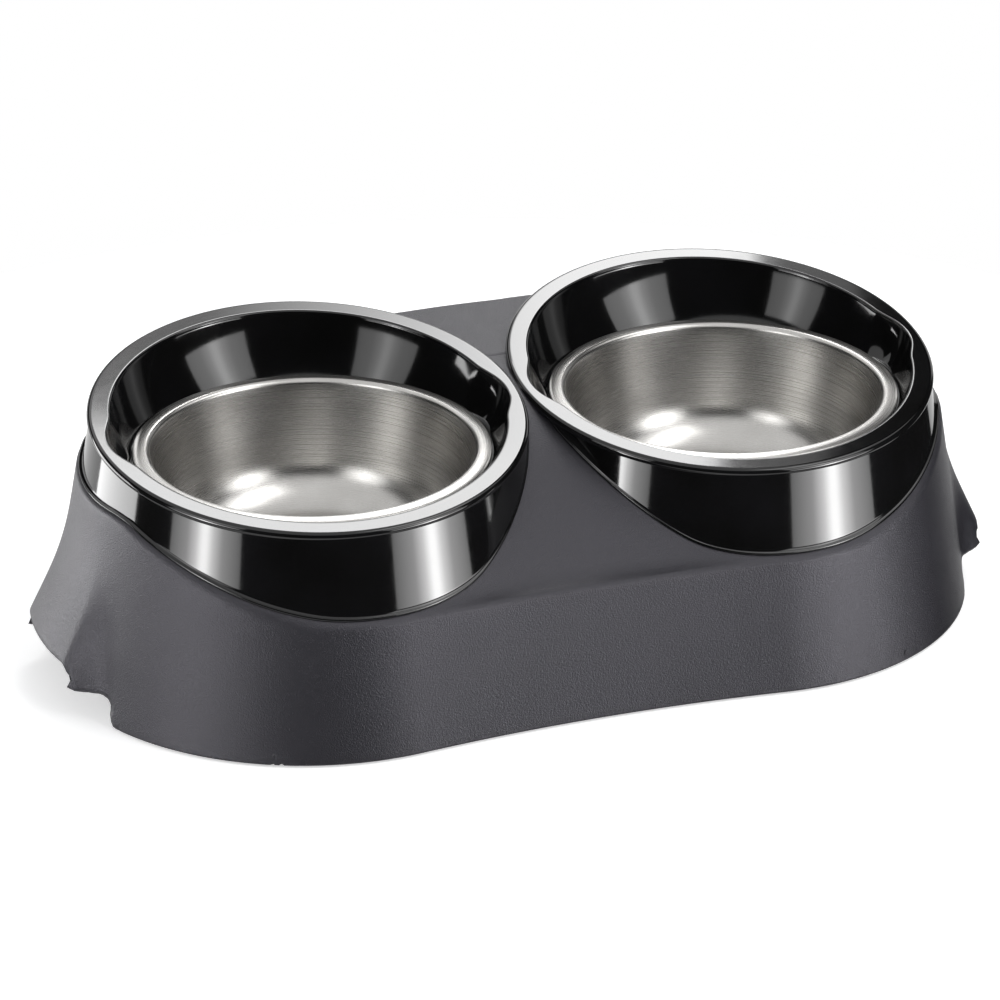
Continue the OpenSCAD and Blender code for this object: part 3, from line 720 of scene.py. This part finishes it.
def stand_material():
    """Matte anthracite plastic with a fine moulded grain; its edges are softened by a bevel."""
    m, t, b, coord = new_material("stand_plastic")
    color = ramp(t, noise(t, coord, 18.0, 3.0),
                 [(0.3, (0.0125, 0.0122, 0.0150, 1)), (0.7, (0.0155, 0.0150, 0.0185, 1))])
    t.links.new(color, b.inputs["Base Color"])
    t.links.new(mapped(t, noise(t, coord, 900.0, 2.0), 0.34, 0.46), b.inputs["Roughness"])
    bump = bump_of(t, noise(t, coord, 1700.0, 2.0, 0.7), 0.8, 0.0003)
    b.inputs["Specular Tint"].default_value = (0.94, 0.92, 1.0, 1)
    bevel = t.nodes.new("ShaderNodeBevel")
    bevel.samples = 8
    bevel.inputs["Radius"].default_value = 0.0012
    t.links.new(bevel.outputs["Normal"], bump.inputs["Normal"])
    t.links.new(bump.outputs["Normal"], b.inputs["Normal"])
    return m


def gloss_material():
    """Deep black polished melamine with a very slight waviness."""
    m, t, b, coord = new_material("glossy_bowl")
    color = ramp(t, noise(t, coord, 30.0, 2.0), [(0.35, grey(0.0025)), (0.7, grey(0.0040, 1.1))])
    t.links.new(color, b.inputs["Base Color"])
    t.links.new(mapped(t, noise(t, coord, 240.0, 4.0), 0.05, 0.1), b.inputs["Roughness"])
    bump = bump_of(t, noise(t, coord, 60.0, 2.0), 0.03, 0.0002)
    t.links.new(bump.outputs["Normal"], b.inputs["Normal"])
    return m


def steel_material(side):
    """Spun steel, its fine lines level rings about the bowl's own axis."""
    m, t, b, coord = new_material("steel_" + ("left" if side < 0 else "right"))
    b.inputs["Metallic"].default_value = 1.0
    move = t.nodes.new("ShaderNodeVectorMath")
    move.operation = "SUBTRACT"
    move.inputs[1].default_value = (side * AXIS_X, SHIFT_Y, 0.0)
    t.links.new(coord, move.inputs[0])
    split = t.nodes.new("ShaderNodeSeparateXYZ")
    t.links.new(move.outputs[0], split.inputs[0])
    # distance from the axis and height are all that the lines are made from
    flat = t.nodes.new("ShaderNodeCombineXYZ")
    t.links.new(split.outputs["X"], flat.inputs["X"])
    t.links.new(split.outputs["Y"], flat.inputs["Y"])
    length = t.nodes.new("ShaderNodeVectorMath")
    length.operation = "LENGTH"
    t.links.new(flat.outputs[0], length.inputs[0])
    ring = t.nodes.new("ShaderNodeCombineXYZ")
    t.links.new(length.outputs["Value"], ring.inputs["X"])
    t.links.new(split.outputs["Z"], ring.inputs["Y"])
    lines = noise(t, ring.outputs[0], 2600.0, 3.0, 0.7)
    color = ramp(t, noise(t, coord, 45.0, 3.0),
                 [(0.3, (0.43, 0.42, 0.405, 1)), (0.7, (0.52, 0.51, 0.495, 1))])
    t.links.new(color, b.inputs["Base Color"])
    t.links.new(mapped(t, lines, 0.2, 0.34), b.inputs["Roughness"])
    t.links.new(bump_of(t, lines, 0.12, 0.0001).outputs["Normal"], b.inputs["Normal"])
    return m


def rubber_material():
    m, t, b, coord = new_material("rubber")
    color = ramp(t, noise(t, coord, 200.0, 3.0), [(0.3, grey(0.012)), (0.7, grey(0.022))])
    t.links.new(color, b.inputs["Base Color"])
    t.links.new(mapped(t, noise(t, coord, 700.0, 2.0), 0.65, 0.85), b.inputs["Roughness"])
    return m


def wear(node, material):
    """Gives one of the solids its material."""
    o = nodes[node]
    o.data.materials.clear()
    o.data.materials.append(material)


# --------------------------------------------------------------- studio
def seen_by(o, camera=False, diffuse=False, glossy=False, shadow=False):
    """Which rays meet an object of the studio."""
    o.visible_camera, o.visible_diffuse, o.visible_glossy = camera, diffuse, glossy
    o.visible_transmission, o.visible_shadow, o.visible_volume_scatter = False, shadow, False


def curved_sheet(name, az0, az1, low, high, radius, material):
    """Upright sheet on a circle about the object, between two azimuths in degrees, which count
    from the back (+Y) towards the right (+X), and two heights in metres."""
    steps = max(2, int(abs(az1 - az0) / 3))
    verts, faces, uv = [], [], []
    for i in range(steps + 1):
        a = math.radians(az0 + (az1 - az0) * i / steps)
        d = Vector((math.sin(a), math.cos(a), 0)) * radius
        verts += [d + Vector((0, 0, low)), d + Vector((0, 0, high))]
    for i in range(steps):
        faces.append((2 * i, 2 * i + 1, 2 * i + 3, 2 * i + 2))
        uv += [(i / steps, 0), (i / steps, 1), ((i + 1) / steps, 1), ((i + 1) / steps, 0)]
    mesh = bpy.data.meshes.new(name)
    mesh.from_pydata(verts, [], faces)
    layer = mesh.uv_layers.new(name="sheet")
    for loop, c in zip(layer.data, uv):
        loop.uv = c
    mesh.materials.append(material)
    o = in_scene(name, mesh)
    return o


def glow(name, strength, shares):
    """White light whose strength follows shares given along a sheet's width."""
    m = bpy.data.materials.new(name)
    t, out = bare_nodes(m)
    e = t.nodes.new("ShaderNodeEmission")
    e.inputs["Color"].default_value = (1, 1, 1, 1)
    uv = t.nodes.new("ShaderNodeTexCoord")
    split = t.nodes.new("ShaderNodeSeparateXYZ")
    t.links.new(uv.outputs["UV"], split.inputs[0])
    curve = ramp(t, split.outputs["X"], [(p, grey(v)) for p, v in shares])
    scale = t.nodes.new("ShaderNodeMath")
    scale.operation = "MULTIPLY"
    scale.inputs[1].default_value = strength
    t.links.new(curve, scale.inputs[0])
    t.links.new(scale.outputs[0], e.inputs["Strength"])
    t.links.new(e.outputs[0], out.inputs["Surface"])
    return m


def peak(edge):
    """Shares of a sheet that is brightest along its upright middle."""
    steps = ((0.0, 0.0), (0.25, 0.16), (0.38, 0.5), (0.47, 0.96),
             (0.53, 0.96), (0.62, 0.5), (0.75, 0.16), (1.0, 0.0))
    return [(p, edge + v * (1 - edge)) for p, v in steps]


def black_card(name):
    """Dull black material for sheets that only mirrors see."""
    m = bpy.data.materials.new(name)
    m.use_nodes = True
    b = m.node_tree.nodes["Principled BSDF"]
    b.inputs["Base Color"].default_value = (0.01, 0.01, 0.01, 1)
    b.inputs["Roughness"].default_value = 1.0
    b.inputs["Specular IOR Level"].default_value = 0.0
    return m


def either(t, one, other):
    """One where any of two outputs is one."""
    n = t.nodes.new("ShaderNodeMath")
    n.operation = "MAXIMUM"
    t.links.new(one, n.inputs[0])
    t.links.new(other, n.inputs[1])
    return n.outputs[0]


def make_world():
    """Plain white to camera, mirror and glass rays, a dimmer light to all others."""
    w = bpy.data.worlds.new("world")
    bpy.context.scene.world = w
    t, out = bare_nodes(w, "ShaderNodeOutputWorld")
    dim, white = t.nodes.new("ShaderNodeBackground"), t.nodes.new("ShaderNodeBackground")
    dim.inputs["Color"].default_value = (0.97, 0.98, 1.0, 1)
    dim.inputs["Strength"].default_value = 0.4
    white.inputs["Color"].default_value = (1, 1, 1, 1)
    white.inputs["Strength"].default_value = 1.0
    path = t.nodes.new("ShaderNodeLightPath").outputs
    seen = either(t, path["Is Camera Ray"], path["Is Glossy Ray"])
    mix = t.nodes.new("ShaderNodeMixShader")
    t.links.new(either(t, seen, path["Is Transmission Ray"]), mix.inputs["Fac"])
    t.links.new(dim.outputs[0], mix.inputs[1])
    t.links.new(white.outputs[0], mix.inputs[2])
    t.links.new(mix.outputs[0], out.inputs["Surface"])


def make_floor():
    """Round floor that takes the shadows and glows a little, so that it ends in the white."""
    half = 0.46
    mesh = bpy.data.meshes.new("floor")
    angles = [math.radians(a) for a in range(0, 360, 5)]
    ring = [(half * math.cos(a), half * math.sin(a), 0) for a in angles]
    mesh.from_pydata(ring, [], [tuple(range(len(ring)))])
    floor = in_scene("floor", mesh)
    m = bpy.data.materials.new("floor")
    t, out = bare_nodes(m)
    lit = t.nodes.new("ShaderNodeBsdfDiffuse")
    lit.inputs["Color"].default_value = (0.9, 0.9, 0.9, 1)
    lift = t.nodes.new("ShaderNodeEmission")
    lift.inputs["Strength"].default_value = 0.45
    both = t.nodes.new("ShaderNodeAddShader")
    t.links.new(lit.outputs[0], both.inputs[0])
    t.links.new(lift.outputs[0], both.inputs[1])
    t.links.new(both.outputs[0], out.inputs["Surface"])
    mesh.materials.append(m)
    return floor


def make_studio():
    make_world()
    seen_by(make_floor(), camera=True, diffuse=True, shadow=True)
    even = [(0.0, 1.0), (1.0, 1.0)]
    below = [(0.0, 0.14), (0.72, 0.14), (0.9, 0.95), (1.0, 1.0)]
    above = [(0.0, 0.14), (0.5, 0.14), (0.66, 1.0), (1.0, 1.0)]
    # name, azimuths, heights, radius, strength, shares across
    for name, az0, az1, low, high, radius, strength, shares in (
            ("left_low_light", -128, -94, -0.34, 0.13, 1.3, 22.0, peak(0.12)),
            ("left_high_light", -132, -97, 0.36, 1.05, 1.3, 4.6, peak(0.4)),
            ("left_side_light", -72, -38, -0.35, 0.30, 1.4, 7.5, even),
            ("right_low_light", 119, 162, -0.34, 0.13, 1.3, 24.0, peak(0.12)),
            ("right_high_light", 122, 163, 0.36, 1.05, 1.3, 7.4, peak(0.35)),
            ("top_light", 85, 160, 1.1, 2.3, 0.9, 4.0, even),
            ("back_light_below", -30, 31.5, 1.0, 1.4, 1.5, 10.0, below),
            ("back_light_above", -30, 31.5, 1.4, 1.9, 1.5, 10.0, above)):
        sheet = curved_sheet(name, az0, az1, low, high, radius, glow(name, strength, shares))
        seen_by(sheet, diffuse=True, glossy=True)
    # black cards behind the lights: name, azimuths, heights
    card, card_radius = black_card("flag"), 1.8
    for name, az0, az1, low, high in (("front_flag", 60, 320, -1.2, 1.5),
                                      ("back_flag", -40, 4, 0.36, 1.0),
                                      ("right_flag", 34, 62, 0.95, 2.4)):
        seen_by(curved_sheet(name, az0, az1, low, high, card_radius, card), glossy=True)


make_camera()
plastic, gloss, rubber = stand_material(), gloss_material(), rubber_material()
make_stand(plastic)
gloss_rings, steel_rings = bowl_rows(360), steel_rows(256)
for side, name in ((-1, "left"), (1, "right")):
    points, faces = turned(gloss_rings, side)
    placed(name + "_gloss", points, faces, gloss, name + "_outer_bowl", name + "_outer")
    points, faces = turned(steel_rings, side)
    placed(name + "_spun_steel", points, faces, steel_material(side), name + "_steel_bowl",
           name + "_steel")
for name in ("front_left_foot", "front_right_foot", "back_left_foot", "back_right_foot"):
    wear(name, rubber)

make_studio()

bpy.context.scene.view_settings.view_transform = "Standard"
